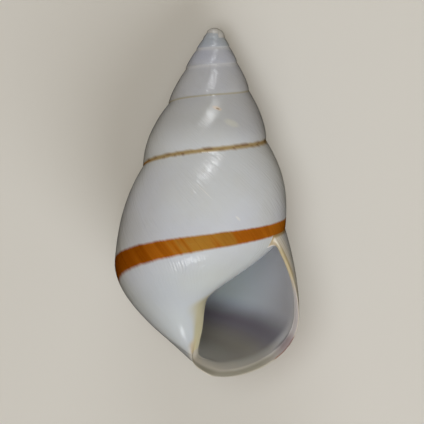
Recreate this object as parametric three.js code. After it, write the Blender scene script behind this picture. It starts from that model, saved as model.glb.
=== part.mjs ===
// Banded spiral snail shell, lying on its back with the mouth up.
// Millimetres, +Z up, the origin under the middle of the box that holds the shell.
//
// The shell is first drawn standing: the coiling axis runs down -Z from the apex, X points to the
// side of the mouth and -Y to whoever looks into it. A stage is an age in whorls: 0 at the lip,
// -1 one whorl earlier. The shell turns clockwise on its way down, seen from the apex.
import * as THREE from 'three';

const WHORLS = 5.2;
const COLUMNS_PER_WHORL = 42;

// Seam where one whorl sits on the whorl above it. Its reach is the depth below the point where
// the spiral would start, a little above the real apex.
const SEAM_REACH_AT_LIP = 28.29;
const SPIRE_DESCENT = 0.5815;
const BODY_DESCENT = 0.656;
const START_ABOVE_APEX = 0.275;

// The widest radius of a whorl follows the reach of the seam under it and levels off.
const WIDEST_POSSIBLE = 17.63;
const WIDENING_REACH = 28.52;
const TIP_BLUNTNESS = 0.8;

// Shape of a whorl in the spire, on the left side of the body whorl, and at the lip. It changes
// slowly between them, from the stage where each change starts.
const BODY_STARTS = -1.08;
const BODY_CHANGE = 0.5;
const LIP_STARTS = -0.5;
const LIP_CHANGE = 0.46;
const RADIUS_SHARE = [1, 0.942, 0.99];
const PERIPHERY_PLACE = [0.946, 0.829, 0.681];
const BASE_HEIGHT = [0.951, 1.07, 0.687];
const BASE_FLATTENS_EARLY = 0.07;
const BASE_ROUNDNESS = [0.706, 0.706, 2.2];
const BASE_SWELL = [1.92, 1.93, 2.02];
const BULGE = [2.474, 2.474, 1.569];
const BULGE_GAIN = 0.796;
const LEAST_BULGE = 1.15;

// Above the mouth the base is a little hollow towards the pillar.
const BASE_HOLLOW = 0.086;
const BASE_HOLLOW_REACH = 0.6;
const BASE_HOLLOW_CURVE = 1.3;

// The coiling axis is not quite straight.
const AXIS_LEAN = 0.0145;
const AXIS_BOW = 0.58;
const AXIS_LENGTH = 45.4;

// Columella, the pillar in the middle. It bends out of the base above it, and tapers to its foot.
const PILLAR_SHARE = 0.094;
const PILLAR_FLARE = 2.7;
const PILLAR_END_STAGE = -0.2;
const PILLAR_BEND_ROWS = 0.6;
const PILLAR_BEND_END = 0.4;
const TAPER_START = 42.3;
const TAPER_LENGTH = 2.7;
const LEAST_TAPER = 0.4;

// Foot of the shell, where the base of the last whorl closes under the pillar.
const FOOT_DEPTH = 45.6;
const FOOT_STARTS = -0.83;
const FOOT_CHANGE = 0.3;
const FOOT_ROUNDING = [3, 3, 5.5];
const FOOT_TIP = 0.5;
const FOOT_STAGE = -0.08;
const FOOT_STEP = 0.2;
const FOOT_LIFT = 0.6;

// Mouth. Its lip lies in one slanting plane: how far in front of the axis it is, and how that
// changes to the side and downwards.
const LIP_CORNER_AZIMUTH = THREE.MathUtils.degToRad(-33);
const MOUTH_FRONT = 19.2;
const MOUTH_SIDE_SLANT = -0.194;
const MOUTH_DOWN_SLANT = -0.39;
const FOOT_LEAD = 0.186;
const LIP_BLEND = 0.27;
const LIP_SEARCH = 0.3;
const LIP_HALVINGS = 24;

// Wall and hollow. The wall is thinnest at the lip and thickest at the base.
const WALL = 0.85;
const BASE_WALLS = 1.5;
const LIP_EDGE = 0.5;
const LIP_BEVEL = 0.1;
const FLOOR_THICKENS = 0.15;
const HOLLOW_WHORLS = 1.9;

// Rows across a whorl, from the seam down to the pillar.
const UPPER_ROWS = 6;
const SEAM_ROW = 8;
const BASE_ROW = 13;
const PILLAR_ROW = 18;
const FIRST_INNER_ROW = 2;
const FILLET_ROWS = 3;
const FILLET_CORNER_ROW = BASE_ROW + 2;
const DOME_RINGS = 3;

// Steps to a neighbouring point, for the direction of the surface.
const COLUMN_NUDGE = 0.5;
const ROW_NUDGE = 0.25;

// Resting pose: how far the mouth turns aside, and how far the axis then tips over backwards. Where
// the shell rests its round back is levelled: up to a small height above its lowest point.
const MOUTH_TURN = THREE.MathUtils.degToRad(9.49);
const AXIS_TIP = THREE.MathUtils.degToRad(-103.4);
const REST_LEVEL = 0.2;
const REST_HEIGHT = 0.5;

const TURN = 2 * Math.PI;

function ease(x) {
  const c = Math.min(Math.max(x, 0), 1);
  return c * c * (3 - 2 * c);
}

function aged([spire, body, lip], stage) {
  const toBody = ease((stage - BODY_STARTS) / BODY_CHANGE);
  const toLip = ease((stage - LIP_STARTS) / LIP_CHANGE);
  return spire + (body - spire) * toBody + (lip - body) * toLip;
}

function seamReach(stage) {
  if (stage <= 0) return SEAM_REACH_AT_LIP * Math.exp(SPIRE_DESCENT * stage);
  return SEAM_REACH_AT_LIP * (1 + BODY_DESCENT * stage);
}

function seamDepth(stage) {
  return seamReach(stage) - START_ABOVE_APEX;
}

function whorl(stage) {
  const widening = 1 - Math.exp(-(seamReach(stage + 1) + TIP_BLUNTNESS) / WIDENING_REACH);
  const radius = WIDEST_POSSIBLE * widening * aged(RADIUS_SHARE, stage);
  const top = seamDepth(stage);
  const bottom = seamDepth(stage + 1);
  const periphery = top + aged(PERIPHERY_PLACE, stage) * (bottom - top);
  const height = radius * aged(BASE_HEIGHT, stage + BASE_FLATTENS_EARLY);
  const roundness = aged(BASE_ROUNDNESS, stage);
  const swell = aged(BASE_SWELL, stage);
  const young = Math.max(BULGE[0] + BULGE_GAIN * Math.min(stage + 1, 0), LEAST_BULGE);
  const bulge = stage < -1 ? young : aged(BULGE, stage);
  return { radius, top, bottom, periphery, height, roundness, swell, bulge };
}

function seamShare(w) {
  const y = (w.bottom - w.periphery) / w.height;
  return (1 - y ** w.swell) ** (1 / w.roundness);
}

function upperPoint(stage, x) {
  const w = whorl(stage);
  const above = whorl(stage - 1);
  const start = above.radius * seamShare(above);
  const r = start + (w.radius - start) * (1 - (1 - x) ** w.bulge);
  return [r, w.top + (w.periphery - w.top) * x];
}

function footShare(stage) {
  return ease((stage - FOOT_STARTS) / FOOT_CHANGE);
}

function basePoint(stage, share) {
  const w = whorl(stage);
  const y = (1 - share ** w.roundness) ** (1 / w.swell);
  const foot = footShare(stage);
  const pull = (FOOT_DEPTH - w.periphery - w.height) * foot * (1 - share) ** aged(FOOT_ROUNDING, stage);
  const inwards = Math.max(1 - share / BASE_HOLLOW_REACH, 0) ** BASE_HOLLOW_CURVE;
  const hollow = BASE_HOLLOW * w.radius * (1 - foot) * inwards;
  return [w.radius * share, w.periphery + w.height * y + pull - hollow];
}

function mixPoint([ar, ad], [br, bd], k) {
  return [ar + (br - ar) * k, ad + (bd - ad) * k];
}

function bend(a, corner, b, k) {
  return mixPoint(mixPoint(a, corner, k), mixPoint(corner, b, k), k);
}

function pillarRadius(stage, depth) {
  const along = Math.min(Math.max((depth - TAPER_START) / TAPER_LENGTH, 0), 1);
  const taper = Math.max(Math.sqrt(1 - along * along), LEAST_TAPER);
  return PILLAR_SHARE * whorl(stage).radius * taper;
}

function floorDepth(stage) {
  const meet = Math.min(basePoint(Math.min(stage, FOOT_STAGE), PILLAR_SHARE)[1], FOOT_DEPTH - FOOT_STEP);
  return meet - LIP_EDGE - (BASE_WALLS * wall(stage) - LIP_EDGE) * ease(-stage / FLOOR_THICKENS);
}

function wall(stage) {
  const size = whorl(Math.min(stage, 0)).radius / whorl(0).radius;
  return WALL * Math.sqrt(size);
}

// From the base of a whorl in a hollow curve down the pillar, to where the next floor meets it.
function pillarPoint(stage, k) {
  const from = basePoint(stage, PILLAR_SHARE * PILLAR_FLARE);
  const corner = basePoint(stage, PILLAR_SHARE);
  const thickness = stage + 1 < 0 ? stage + 1 : PILLAR_END_STAGE;
  const end = floorDepth(stage + 1);
  const middle = corner[1] + PILLAR_BEND_END * (end - corner[1]);
  const shaft = (depth) => [pillarRadius(thickness, depth), depth];
  const belowBend = (k - PILLAR_BEND_ROWS) / (1 - PILLAR_BEND_ROWS);
  const down = k < PILLAR_BEND_ROWS
    ? bend(from, corner, shaft(middle), k / PILLAR_BEND_ROWS)
    : shaft(middle + (end - middle) * belowBend);
  const straight = basePoint(stage, PILLAR_SHARE * (PILLAR_FLARE * (1 - k) + FOOT_TIP * k));
  return mixPoint(down, straight, footShare(stage));
}

// Radius and depth of one row of a whorl.
function rowPoint(stage, row) {
  const w = whorl(stage);
  if (row <= UPPER_ROWS) return upperPoint(stage, row / UPPER_ROWS);
  const seam = seamShare(w);
  if (row <= SEAM_ROW) {
    const y = ((w.bottom - w.periphery) / w.height) * ((row - UPPER_ROWS) / (SEAM_ROW - UPPER_ROWS));
    return basePoint(stage, (1 - y ** w.swell) ** (1 / w.roundness));
  }
  const wallShare = seam - wall(stage + 1) / w.radius;
  if (row <= SEAM_ROW + 1) return basePoint(stage, seam + (wallShare - seam) * (row - SEAM_ROW));
  if (row <= BASE_ROW) {
    const k = (row - SEAM_ROW - 1) / (BASE_ROW - SEAM_ROW - 1);
    return basePoint(stage, wallShare + (PILLAR_SHARE * PILLAR_FLARE - wallShare) * k);
  }
  return pillarPoint(stage, (row - BASE_ROW) / (PILLAR_ROW - BASE_ROW));
}

function place([r, d], azimuth) {
  const along = d / AXIS_LENGTH;
  const off = AXIS_LEAN * d + AXIS_BOW * 4 * along * (1 - along);
  return new THREE.Vector3(off + r * Math.cos(azimuth), r * Math.sin(azimuth), -d);
}

function azimuthOf(stage) {
  return LIP_CORNER_AZIMUTH - TURN * stage;
}

function surfacePoint(stage, row) {
  if (row <= BASE_ROW) return place(rowPoint(stage, row), azimuthOf(stage));
  const [r, d] = rowPoint(Math.min(stage, FOOT_STAGE), row);
  const lift = FOOT_LIFT * ease((stage - FOOT_STAGE) / (FOOT_LEAD - FOOT_STAGE));
  return place([r, d - lift], azimuthOf(stage));
}

// The stage at which a row reaches the plane of the mouth.
function lipStage(row) {
  let [early, late] = [-LIP_SEARCH, LIP_SEARCH];
  const outerRow = Math.min(row, BASE_ROW);
  for (let step = 0; step < LIP_HALVINGS; step += 1) {
    const stage = (early + late) / 2;
    const p = surfacePoint(stage, outerRow);
    const past = -p.y > MOUTH_FRONT + MOUTH_SIDE_SLANT * p.x - MOUTH_DOWN_SLANT * p.z;
    if (past) late = stage;
    else early = stage;
  }
  const onPlane = (early + late) / 2;
  if (row <= BASE_ROW) return onPlane;
  return onPlane + (FOOT_LEAD - onPlane) * ease((row - BASE_ROW) / (PILLAR_ROW - BASE_ROW));
}

const lipStages = Array.from({ length: PILLAR_ROW + 1 }, (_, row) => (row === 0 ? 0 : lipStage(row)));

// Columns are meridians, except that the youngest ones lean over to follow the lip.
function stageAt(column, row) {
  const whorls = column / COLUMNS_PER_WHORL;
  return -whorls + lipStages[row] * ease(1 - whorls / LIP_BLEND);
}

function outerPoint(column, row) {
  const lastWhorl = column < COLUMNS_PER_WHORL * LIP_BLEND;
  return surfacePoint(lastWhorl ? stageAt(column, row) : -column / COLUMNS_PER_WHORL, row);
}

// Point on the inside of the wall, straight in from the outside.
function innerPoint(column, row) {
  const p = outerPoint(column, row);
  const older = outerPoint(column + COLUMN_NUDGE, row).sub(p);
  const lower = surfacePoint(stageAt(column, row), row + ROW_NUDGE).sub(p);
  const outward = lower.cross(older).normalize();
  const whorls = column / COLUMNS_PER_WHORL;
  const walls = 1 + (BASE_WALLS - 1) * ease((row - UPPER_ROWS) / (BASE_ROW - UPPER_ROWS));
  const thickness = LIP_EDGE + (walls * wall(-whorls) - LIP_EDGE) * ease(whorls / LIP_BEVEL);
  return p.addScaledVector(outward, -thickness);
}

// Hollow corner between the floor and the pillar.
function filletPoint(column, step) {
  const stage = stageAt(column, BASE_ROW);
  const start = innerPoint(column, BASE_ROW);
  const late = Math.min(stage, FOOT_STAGE);
  const deep = basePoint(late, PILLAR_SHARE)[1] - wall(late);
  const corner = place([pillarRadius(late, deep), deep], azimuthOf(stageAt(column, FILLET_CORNER_ROW)));
  const whorls = column / COLUMNS_PER_WHORL;
  const end = surfacePoint(-whorls - 1 + FOOT_LEAD * ease(1 - whorls / LIP_BLEND), PILLAR_ROW);
  const k = step / (FILLET_ROWS + 1);
  return start.lerp(corner, k).lerp(corner.clone().lerp(end, k), k);
}

class Skin {
  constructor() {
    this.points = [];
    this.faces = [];
  }

  add(point) {
    this.points.push(point);
    return this.points.length - 1;
  }

  face(a, b, c) {
    if (a !== b && b !== c && c !== a) this.faces.push([a, b, c]);
  }

  quad(a, b, c, d) {
    this.face(a, b, c);
    this.face(a, c, d);
  }

  // Joins two edges that run side by side, taking the shorter diagonal each time.
  zip(left, right) {
    let [i, k] = [0, 0];
    const gap = (a, b) => this.points[a].distanceTo(this.points[b]);
    while (i < left.length - 1 || k < right.length - 1) {
      const canLeft = i < left.length - 1;
      const canRight = k < right.length - 1;
      const takeLeft = canLeft && (!canRight || gap(left[i + 1], right[k]) <= gap(left[i], right[k + 1]));
      if (takeLeft) {
        this.face(left[i], left[i + 1], right[k]);
        i += 1;
      } else {
        this.face(left[i], right[k + 1], right[k]);
        k += 1;
      }
    }
  }

  geometry() {
    const geometry = new THREE.BufferGeometry();
    const coordinates = this.points.flatMap((p) => p.toArray());
    geometry.setAttribute('position', new THREE.Float32BufferAttribute(coordinates, 3));
    geometry.setIndex(this.faces.flat());
    geometry.computeVertexNormals();
    return geometry;
  }
}

const firstColumn = Math.round(WHORLS * COLUMNS_PER_WHORL);
const hollowColumns = Math.round(HOLLOW_WHORLS * COLUMNS_PER_WHORL);
const footColumn = Math.round((1 - FOOT_LEAD) * COLUMNS_PER_WHORL);

// Outside of the shell: one band of rows that winds down from the apex. Older whorls end at the
// seam; the last whorl, and the part of the whorl before it that the mouth shows, go on to the pillar.
function addOutside(skin) {
  const outer = [];
  for (let column = 0; column <= firstColumn; column += 1) {
    outer[column] = [];
    const deep = column <= COLUMNS_PER_WHORL + hollowColumns;
    for (let row = 0; row <= (deep ? PILLAR_ROW : SEAM_ROW); row += 1) {
      const shared = row === SEAM_ROW && column >= COLUMNS_PER_WHORL;
      outer[column][row] = shared ? outer[column - COLUMNS_PER_WHORL][0] : skin.add(outerPoint(column, row));
    }
  }
  for (let column = 0; column < firstColumn; column += 1) {
    const last = column < COLUMNS_PER_WHORL;
    const inHollow = column < COLUMNS_PER_WHORL + hollowColumns;
    for (let row = 0; row < PILLAR_ROW; row += 1) {
      const shown = row < SEAM_ROW || (last && row >= SEAM_ROW) || (inHollow && row > SEAM_ROW);
      if (!shown) continue;
      const [near, far] = [outer[column], outer[column + 1]];
      skin.quad(near[row], near[row + 1], far[row + 1], far[row]);
    }
  }
  return outer;
}

// Blunt dome over the first turn of the spiral.
function addApex(skin, outer) {
  const rim = [];
  for (let column = firstColumn - COLUMNS_PER_WHORL; column <= firstColumn; column += 1) rim.push(outer[column][0]);
  for (let row = 1; row < SEAM_ROW; row += 1) rim.push(outer[firstColumn][row]);
  let below = rim;
  const centre = place([0, 0], 0);
  for (let ring = 1; ring <= DOME_RINGS; ring += 1) {
    const angle = (Math.PI / 2) * (1 - ring / (DOME_RINGS + 1));
    const dome = rim.map((index) => {
      const p = skin.points[index];
      const side = p.clone().setZ(0).sub(centre.clone().setZ(0)).multiplyScalar(Math.sin(angle));
      return skin.add(new THREE.Vector3(centre.x + side.x, side.y, p.z * (1 - Math.cos(angle))));
    });
    rim.forEach((_, i) => {
      const next = (i + 1) % rim.length;
      skin.quad(below[i], below[next], dome[next], dome[i]);
    });
    below = dome;
  }
  const tip = skin.add(centre);
  rim.forEach((_, i) => skin.face(below[i], below[(i + 1) % rim.length], tip));
}

function addFoot(skin, outer) {
  const tip = skin.add(place([0, FOOT_DEPTH], 0));
  for (let column = 0; column < footColumn; column += 1) {
    skin.face(outer[column][PILLAR_ROW], tip, outer[column + 1][PILLAR_ROW]);
  }
  return tip;
}

// Inside of the outer wall, from the lip back to the blind end of the hollow.
function addHollow(skin, outer) {
  const inner = [];
  for (let column = 0; column <= hollowColumns; column += 1) {
    inner[column] = [outer[column + COLUMNS_PER_WHORL][SEAM_ROW + 1]];
    for (let row = FIRST_INNER_ROW; row <= BASE_ROW; row += 1) {
      inner[column].push(skin.add(innerPoint(column, row)));
    }
    for (let step = 1; step <= FILLET_ROWS; step += 1) inner[column].push(skin.add(filletPoint(column, step)));
  }
  const floorRow = inner[0].length - 1;
  for (let column = 0; column < hollowColumns; column += 1) {
    for (let k = 0; k < floorRow; k += 1) {
      const [near, far] = [inner[column], inner[column + 1]];
      skin.quad(near[k], far[k], far[k + 1], near[k + 1]);
    }
  }
  const floor = inner.map((rows) => rows[floorRow]);
  const pillar = [];
  for (let column = footColumn; column <= COLUMNS_PER_WHORL + hollowColumns; column += 1) {
    pillar.push(outer[column][PILLAR_ROW]);
  }
  skin.zip(floor, pillar);
  return inner;
}

function addBlindEnd(skin, outer, inner) {
  const last = COLUMNS_PER_WHORL + hollowColumns;
  const ring = [...inner[hollowColumns]];
  for (let row = PILLAR_ROW; row > SEAM_ROW + 1; row -= 1) ring.push(outer[last][row]);
  const centre = new THREE.Vector3();
  ring.forEach((index) => centre.addScaledVector(skin.points[index], 1 / ring.length));
  const end = skin.add(centre);
  ring.forEach((index, i) => skin.face(index, end, ring[(i + 1) % ring.length]));
}

function addLip(skin, outer, inner, footTip) {
  const outside = [...outer[0], footTip];
  const inside = [...inner[0], outer[footColumn][PILLAR_ROW]];
  skin.zip(inside, outside);
}

function shellGeometry() {
  const skin = new Skin();
  const outer = addOutside(skin);
  addApex(skin, outer);
  const footTip = addFoot(skin, outer);
  const inner = addHollow(skin, outer);
  addBlindEnd(skin, outer, inner);
  addLip(skin, outer, inner, footTip);
  return skin.geometry();
}

// Lays the shell down, the apex towards +Y, and puts the origin under the middle of its box.
function rest(geometry) {
  geometry.rotateZ(MOUTH_TURN);
  geometry.rotateX(AXIS_TIP);
  geometry.computeBoundingBox();
  const { min, max } = geometry.boundingBox;
  const points = geometry.attributes.position;
  const ground = min.z + REST_LEVEL;
  for (let i = 0; i < points.count; i += 1) {
    if (points.getZ(i) < min.z + REST_HEIGHT) points.setZ(i, ground);
  }
  return geometry.translate(-(min.x + max.x) / 2, -(min.y + max.y) / 2, -ground);
}

const porcelain = new THREE.MeshStandardMaterial({ color: 0xdcdcd8, roughness: 0.32, metalness: 0 });
const shell = new THREE.Mesh(rest(shellGeometry()), porcelain);
shell.name = 'shell';

const part = new THREE.Group();
part.add(shell);

export default part;
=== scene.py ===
"""Banded spiral snail shell, lying on its back with the mouth up, on a plain pale floor."""
import math

import bpy
import numpy as np
from mathutils import Matrix, Vector


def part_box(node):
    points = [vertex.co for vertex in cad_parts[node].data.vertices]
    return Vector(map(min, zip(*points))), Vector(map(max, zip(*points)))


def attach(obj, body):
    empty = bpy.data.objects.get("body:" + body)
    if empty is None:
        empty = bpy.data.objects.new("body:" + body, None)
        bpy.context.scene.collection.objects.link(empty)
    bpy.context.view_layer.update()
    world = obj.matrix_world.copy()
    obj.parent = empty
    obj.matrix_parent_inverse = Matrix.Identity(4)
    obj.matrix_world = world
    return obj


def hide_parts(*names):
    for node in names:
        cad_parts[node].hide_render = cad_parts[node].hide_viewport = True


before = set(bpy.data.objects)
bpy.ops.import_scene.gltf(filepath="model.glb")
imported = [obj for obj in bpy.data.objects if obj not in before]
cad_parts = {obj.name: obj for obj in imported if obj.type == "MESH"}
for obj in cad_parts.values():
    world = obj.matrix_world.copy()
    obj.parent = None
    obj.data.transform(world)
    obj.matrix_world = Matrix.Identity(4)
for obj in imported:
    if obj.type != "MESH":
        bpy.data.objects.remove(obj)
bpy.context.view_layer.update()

# Form of the shell, in millimetres. It is worked out standing: the coiling axis runs down -Z from
# the tip, X points to the side of the mouth and -Y to whoever looks into it. A stage is an age in
# whorls: 0 at the lip, -1 one whorl earlier. First the spiral: how the seam comes down from its
# start, and how the whorls widen with the way down.
WHORLS = 5.9
SEAM_REACH_AT_LIP = 28.29
SPIRE_DESCENT = 0.5815
BODY_DESCENT = 0.656
START_ABOVE_APEX = 0.275
WIDEST_POSSIBLE = 17.63
WIDENING_REACH = 28.52
TIP_BLUNTNESS = 0.8

# Shape of a whorl in the spire, on the left side of the body whorl, and at the lip. It changes
# slowly between them, from the stage where each change starts.
BODY_STARTS = -1.08
BODY_CHANGE = 0.5
LIP_STARTS = -0.5
LIP_CHANGE = 0.46
RADIUS_SHARE = (1, 0.942, 0.99)
PERIPHERY_PLACE = (0.946, 0.829, 0.681)
BASE_HEIGHT = (0.951, 1.07, 0.687)
BASE_FLATTENS_EARLY = 0.07
BASE_ROUNDNESS = (0.706, 0.706, 2.2)
BASE_SWELL = (1.92, 1.93, 2.02)
BULGE = (2.474, 2.474, 1.569)
BULGE_GAIN = 0.796
LEAST_BULGE = 1.33
BASE_HOLLOW = 0.086
BASE_HOLLOW_REACH = 0.6
BASE_HOLLOW_CURVE = 1.3

# The coiling axis leans and bows a little to the side.
AXIS_LEAN = 0.0145
AXIS_BOW = 0.58
AXIS_LENGTH = 45.4

# Columella, the pillar in the middle, and the foot under it.
PILLAR_SHARE = 0.094
PILLAR_FLARE = 2.7
PILLAR_END_STAGE = -0.2
PILLAR_BEND_ROWS = 0.6
PILLAR_BEND_END = 0.4
PILLAR_SIDE = -0.785
TAPER_START = 42.3
TAPER_LENGTH = 2.7
LEAST_TAPER = 0.4
PILLAR_WAIST = 0.7
FOOT_DEPTH = 45.6
FOOT_STARTS = -0.83
FOOT_CHANGE = 0.3
FOOT_ROUNDING = (3, 3, 5.5)
FOOT_TIP = 0.5
FOOT_STAGE = -0.08
FOOT_STEP = 0.2
FOOT_LIFT = 0.6

# Where the lip's upper corner lies around the axis, the slanting plane of the mouth, how far the
# lip runs ahead at the foot, and the whorls over which the columns bend to follow it.
LIP_CORNER_AZIMUTH = math.radians(-33)
MOUTH_FRONT = 19.2
MOUTH_SIDE_SLANT = -0.194
MOUTH_DOWN_SLANT = -0.39
FOOT_LEAD = 0.186
LIP_BLEND = 0.27

# The wall is thinnest at the lip and thickest at the base.
WALL = 0.85
BASE_WALLS = 1.5
LIP_EDGE = (0.4, 1.1)
LIP_FILLS_FROM = 3
LIP_FILLS_BY = 9
LIP_BEVEL = 0.1
FLOOR_THICKENS = 0.15
HOLLOW_WHORLS = 1.9

# Rows across a whorl, from the seam to the pillar, and how finely each stretch is cut.
UPPER_ROWS = 6
SEAM_ROW = 8
BASE_ROW = 13
PILLAR_ROW = 18
MOUTH_CORNER_ROW = 1
COLUMNS = 200
UPPER_STEPS = 26
SEAM_STEPS = 5
LIP_STEPS = 8
BASE_STEPS = 20
PILLAR_STEPS = 16
DOME_RINGS = 9

# The standing shell turns about its axis and tips over to lie down.
MOUTH_TURN = math.radians(9.49)
AXIS_TIP = math.radians(-103.4)
MM = 0.001
TURN = 2 * math.pi
TINY = 1e-6


def ease(x):
    """0 up to x = 0, 1 from x = 1 on and smooth between them."""
    c = np.clip(x, 0, 1)
    return c * c * (3 - 2 * c)


def aged(values, stage):
    """A measure that changes from its value in the spire to those of the body whorl and the lip."""
    spire, body, lip = values
    to_body = ease((stage - BODY_STARTS) / BODY_CHANGE)
    to_lip = ease((stage - LIP_STARTS) / LIP_CHANGE)
    return spire + (body - spire) * to_body + (lip - body) * to_lip


def seam_reach(stage):
    """How far the seam has come down: ever faster up to the lip, and evenly past it."""
    spire = np.exp(SPIRE_DESCENT * np.minimum(stage, 0))
    return SEAM_REACH_AT_LIP * np.where(stage <= 0, spire, 1 + BODY_DESCENT * stage)


def seam_depth(stage):
    return seam_reach(stage) - START_ABOVE_APEX


class Whorl:
    """Measures of the whorl at each stage of an array."""

    def __init__(self, stage):
        widening = 1 - np.exp(-(seam_reach(stage + 1) + TIP_BLUNTNESS) / WIDENING_REACH)
        self.radius = WIDEST_POSSIBLE * widening * aged(RADIUS_SHARE, stage)
        self.top = seam_depth(stage)
        self.bottom = seam_depth(stage + 1)
        self.periphery = self.top + aged(PERIPHERY_PLACE, stage) * (self.bottom - self.top)
        self.height = self.radius * aged(BASE_HEIGHT, stage + BASE_FLATTENS_EARLY)
        self.roundness = aged(BASE_ROUNDNESS, stage)
        self.swell = aged(BASE_SWELL, stage)
        young = np.maximum(BULGE[0] + BULGE_GAIN * np.minimum(stage + 1, 0), LEAST_BULGE)
        self.bulge = np.where(stage < -1, young, aged(BULGE, stage))

    def share_at(self, below):
        """Share of the radius where the base has come down by this part of its height."""
        return (1 - below ** self.swell) ** (1 / self.roundness)

    def seam_share(self):
        return self.share_at((self.bottom - self.periphery) / self.height)


def upper_point(stage, x):
    """Radius and depth, from the upper seam at x = 0 to the widest part at x = 1."""
    w = Whorl(stage)
    above = Whorl(stage - 1)
    start = above.radius * above.seam_share()
    return start + (w.radius - start) * (1 - (1 - x) ** w.bulge), w.top + (w.periphery - w.top) * x


def foot_share(stage):
    """0 for older shell and 1 where the base is drawn down to the foot."""
    return ease((stage - FOOT_STARTS) / FOOT_CHANGE)


def base_point(stage, share):
    """Radius and depth below the widest part, at a share of the whorl's radius."""
    w = Whorl(stage)
    y = (1 - share ** w.roundness) ** (1 / w.swell)
    foot = foot_share(stage)
    pull = (FOOT_DEPTH - w.periphery - w.height) * foot * (1 - share) ** aged(FOOT_ROUNDING, stage)
    inwards = np.maximum(1 - share / BASE_HOLLOW_REACH, 0) ** BASE_HOLLOW_CURVE
    hollow = BASE_HOLLOW * w.radius * (1 - foot) * inwards
    return w.radius * share, w.periphery + w.height * y + pull - hollow


def mix(a, b, k):
    return tuple(p + (q - p) * k for p, q in zip(a, b))


def bend(a, corner, b, k):
    """Radius and depth on a curve from a to b that bends towards the corner."""
    return mix(mix(a, corner, k), mix(corner, b, k), k)


def wall(stage):
    """Thickness of the wall, less in smaller whorls."""
    size = Whorl(np.minimum(stage, 0)).radius / Whorl(np.float64(0)).radius
    return WALL * np.sqrt(size)


def lip_edge(row):
    """Thickness of the lip, thin at the upper corner and full at the base."""
    full = float(ease((row - LIP_FILLS_FROM) / (LIP_FILLS_BY - LIP_FILLS_FROM)))
    return LIP_EDGE[0] + (LIP_EDGE[1] - LIP_EDGE[0]) * full


def pillar_radius(stage, depth):
    """The pillar gets thinner towards its end."""
    along = np.clip((depth - TAPER_START) / TAPER_LENGTH, 0, 1)
    taper = np.maximum(np.sqrt(1 - along * along), LEAST_TAPER)
    return PILLAR_SHARE * PILLAR_WAIST * Whorl(stage).radius * taper


def floor_depth(stage):
    """Depth of the floor inside the base, beside the pillar."""
    meet = np.minimum(base_point(np.minimum(stage, FOOT_STAGE), PILLAR_SHARE)[1], FOOT_DEPTH - FOOT_STEP)
    thin = LIP_EDGE[0]
    return meet - thin - (BASE_WALLS * wall(stage) - thin) * ease(-stage / FLOOR_THICKENS)


def pillar_point(stage, k):
    """Radius and depth, from the base at k = 0 to the end of the pillar or the foot at k = 1."""
    start = base_point(stage, PILLAR_SHARE * PILLAR_FLARE)
    corner = base_point(stage, PILLAR_SHARE)
    thickness = np.where(stage + 1 < 0, stage + 1, PILLAR_END_STAGE)
    end = floor_depth(stage + 1)
    middle = corner[1] + PILLAR_BEND_END * (end - corner[1])
    if k < PILLAR_BEND_ROWS:
        down = bend(start, corner, (pillar_radius(thickness, middle), middle), k / PILLAR_BEND_ROWS)
    else:
        depth = middle + (end - middle) * (k - PILLAR_BEND_ROWS) / (1 - PILLAR_BEND_ROWS)
        down = pillar_radius(thickness, depth), depth
    straight = base_point(stage, PILLAR_SHARE * (PILLAR_FLARE * (1 - k) + FOOT_TIP * k))
    return mix(down, straight, foot_share(stage))


def row_point(stage, row):
    """Radius and depth of one row of the whorl at each stage."""
    if row <= UPPER_ROWS:
        return upper_point(stage, row / UPPER_ROWS)
    w = Whorl(stage)
    if row <= SEAM_ROW:
        share_down = (row - UPPER_ROWS) / (SEAM_ROW - UPPER_ROWS)
        return base_point(stage, w.share_at((w.bottom - w.periphery) / w.height * share_down))
    seam = w.seam_share()
    wall_share = seam - wall(stage + 1) / w.radius
    if row <= SEAM_ROW + 1:
        return base_point(stage, seam + (wall_share - seam) * (row - SEAM_ROW))
    if row <= BASE_ROW:
        k = (row - SEAM_ROW - 1) / (BASE_ROW - SEAM_ROW - 1)
        return base_point(stage, wall_share + (PILLAR_SHARE * PILLAR_FLARE - wall_share) * k)
    return pillar_point(stage, (row - BASE_ROW) / (PILLAR_ROW - BASE_ROW))


def place(radius, depth, azimuth):
    """Standing point at a radius and depth, in a direction around the coiling axis."""
    along = depth / AXIS_LENGTH
    off = AXIS_LEAN * depth + AXIS_BOW * 4 * along * (1 - along)
    return np.stack([off + radius * np.cos(azimuth), radius * np.sin(azimuth), -depth], -1)


def azimuth_of(stage):
    return LIP_CORNER_AZIMUTH - TURN * stage


def surface_point(stage, row):
    """Points of one row, standing."""
    stage = np.asarray(stage, float)
    if row <= BASE_ROW:
        return place(*row_point(stage, row), azimuth_of(stage))
    radius, depth = row_point(np.minimum(stage, FOOT_STAGE), row)
    lift = FOOT_LIFT * ease((stage - FOOT_STAGE) / (FOOT_LEAD - FOOT_STAGE))
    return place(radius, depth - lift, azimuth_of(stage))


LIP_SEARCH = (-0.3, 0.3)
LIP_SEARCH_ROUNDS = 30


def lip_stage(row):
    """The stage at which a row reaches the plane of the mouth."""
    if row == 0:
        return 0.0
    early, late = LIP_SEARCH
    for _ in range(LIP_SEARCH_ROUNDS):
        stage = (early + late) / 2
        x, y, z = surface_point(stage, min(row, BASE_ROW))
        if -y > MOUTH_FRONT + MOUTH_SIDE_SLANT * x - MOUTH_DOWN_SLANT * z:
            late = stage
        else:
            early = stage
    on_plane = (early + late) / 2
    if row <= BASE_ROW:
        return on_plane
    return on_plane + (FOOT_LEAD - on_plane) * float(ease((row - BASE_ROW) / (PILLAR_ROW - BASE_ROW)))


def stretch(start, end, steps):
    """Evenly spaced rows from the start up to the last one before the end."""
    return [start + (end - start) * step / steps for step in range(steps)]


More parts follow.
